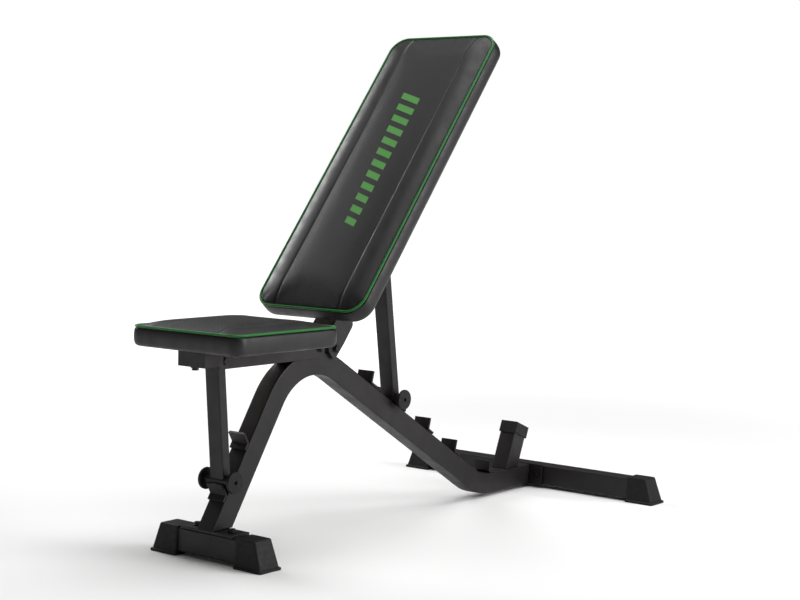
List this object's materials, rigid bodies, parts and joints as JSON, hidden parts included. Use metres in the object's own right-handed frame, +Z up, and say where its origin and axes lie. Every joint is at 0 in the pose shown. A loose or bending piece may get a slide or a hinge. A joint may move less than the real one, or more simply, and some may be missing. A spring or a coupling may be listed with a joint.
{
  "type": "adjustable weight bench",
  "caption": "Strength-training bench with a tilting seat and a reclining backrest, each held by a hinged strut whose cross tube rests in notches along a bent tube frame.",
  "frame": {"origin": "centre of the footprint on the floor, under the middle of the bench", "axes": "+X to the sitter's left, -Y towards the seat end where the sitter's feet are, +Y towards the long rear foot, +Z up"},
  "size_m": [0.68, 1.1382, 0.996],
  "materials": {
    "powder_coat": "charcoal powder coat with a fine orange-peel texture, satin",
    "black_plastic": "moulded black plastic, matte with a fine grain",
    "black_bolt": "black zinc plated steel, semi-gloss",
    "black_vinyl": "black synthetic leather over foam, smooth panels with sewn seams",
    "green_piping": "green synthetic leather piping, satin",
    "plywood": "bare plywood, matte"
  },
  "bodies": {
    "frame": {"spine_tube": "powder_coat", "front_stabiliser": "powder_coat", "rear_stabiliser": "powder_coat", "front_foot_cap_left": "black_plastic", "front_foot_cap_right": "black_plastic", "rear_foot_cap_left": "black_plastic", "rear_foot_cap_right": "black_plastic", "front_base_plate": "powder_coat", "front_plate_bolt_left": "black_bolt", "front_plate_bolt_right": "black_bolt", "rear_end_plate": "powder_coat", "rear_plate_bolt_left": "black_bolt", "rear_plate_bolt_right": "black_bolt", "rear_hook_1": "powder_coat", "rear_hook_2": "powder_coat", "rear_hook_3": "powder_coat", "rear_hook_4": "powder_coat", "rear_hook_5": "powder_coat", "front_hook_lower": "powder_coat", "front_hook_upper": "powder_coat", "rest_post": "powder_coat", "rest_post_cap": "black_plastic", "pivot_saddle": "powder_coat"},
    "seat": {"seat_rail": "powder_coat", "seat_cross_plate": "powder_coat", "seat_pad_bolt_left": "black_bolt", "seat_pad_bolt_right": "black_bolt", "seat_front_bracket": "powder_coat", "seat_front_bolt": "black_bolt", "seat_board": "plywood", "seat_pad": "black_vinyl", "seat_piping": "green_piping", "seat_pivot_bolt": "black_bolt", "seat_pivot_nut": "black_bolt", "seat_strut_bolt": "black_bolt", "seat_strut_nut": "black_bolt"},
    "seat_strut": {"seat_strut_tube": "powder_coat", "seat_strut_cross_tube": "powder_coat", "seat_strut_flange_left": "black_plastic", "seat_strut_flange_right": "black_plastic"},
    "backrest": {"backrest_rail": "powder_coat", "backrest_hinge_bracket": "powder_coat", "backrest_pivot_bolt": "black_bolt", "backrest_pivot_nut": "black_bolt", "backrest_lower_bracket": "powder_coat", "backrest_lower_bolt_left": "black_bolt", "backrest_lower_bolt_right": "black_bolt", "backrest_upper_bracket": "powder_coat", "backrest_upper_bolt_left": "black_bolt", "backrest_upper_bolt_right": "black_bolt", "backrest_board": "plywood", "backrest_pad": "black_vinyl", "backrest_piping": "green_piping", "backrest_rail_plug": "black_plastic", "back_strut_bolt": "black_bolt", "back_strut_nut": "black_bolt"},
    "back_strut": {"back_strut_tube": "powder_coat", "back_strut_cross_tube": "powder_coat", "back_strut_flange_left": "black_plastic", "back_strut_flange_right": "black_plastic"}
  },
  "joints": [
    {"name": "seat_hinge", "type": "hinge", "parent": "frame", "child": "seat", "pos_m": [0, -0.22535, 0.371], "axis": [-1, 0, 0], "range_deg": [0, 16.2]},
    {"name": "seat_strut_hinge", "type": "hinge", "parent": "seat", "child": "seat_strut", "pos_m": [0, -0.48635, 0.366], "axis": [1, 0, 0], "range_deg": [0, 16.2]},
    {"name": "backrest_hinge", "type": "hinge", "parent": "frame", "child": "backrest", "pos_m": [0, -0.18435, 0.368], "axis": [1, 0, 0], "range_deg": [0, 26]},
    {"name": "back_strut_hinge", "type": "hinge", "parent": "backrest", "child": "back_strut", "pos_m": [0, -0.02526, 0.58219], "axis": [1, 0, 0], "range_deg": [-13, 0]}
  ],
  "couplings": [
    {"joint": "seat_strut_hinge", "follows": "seat_hinge", "ratio": 1},
    {"joint": "back_strut_hinge", "follows": "backrest_hinge", "ratio": -0.5}
  ]
}
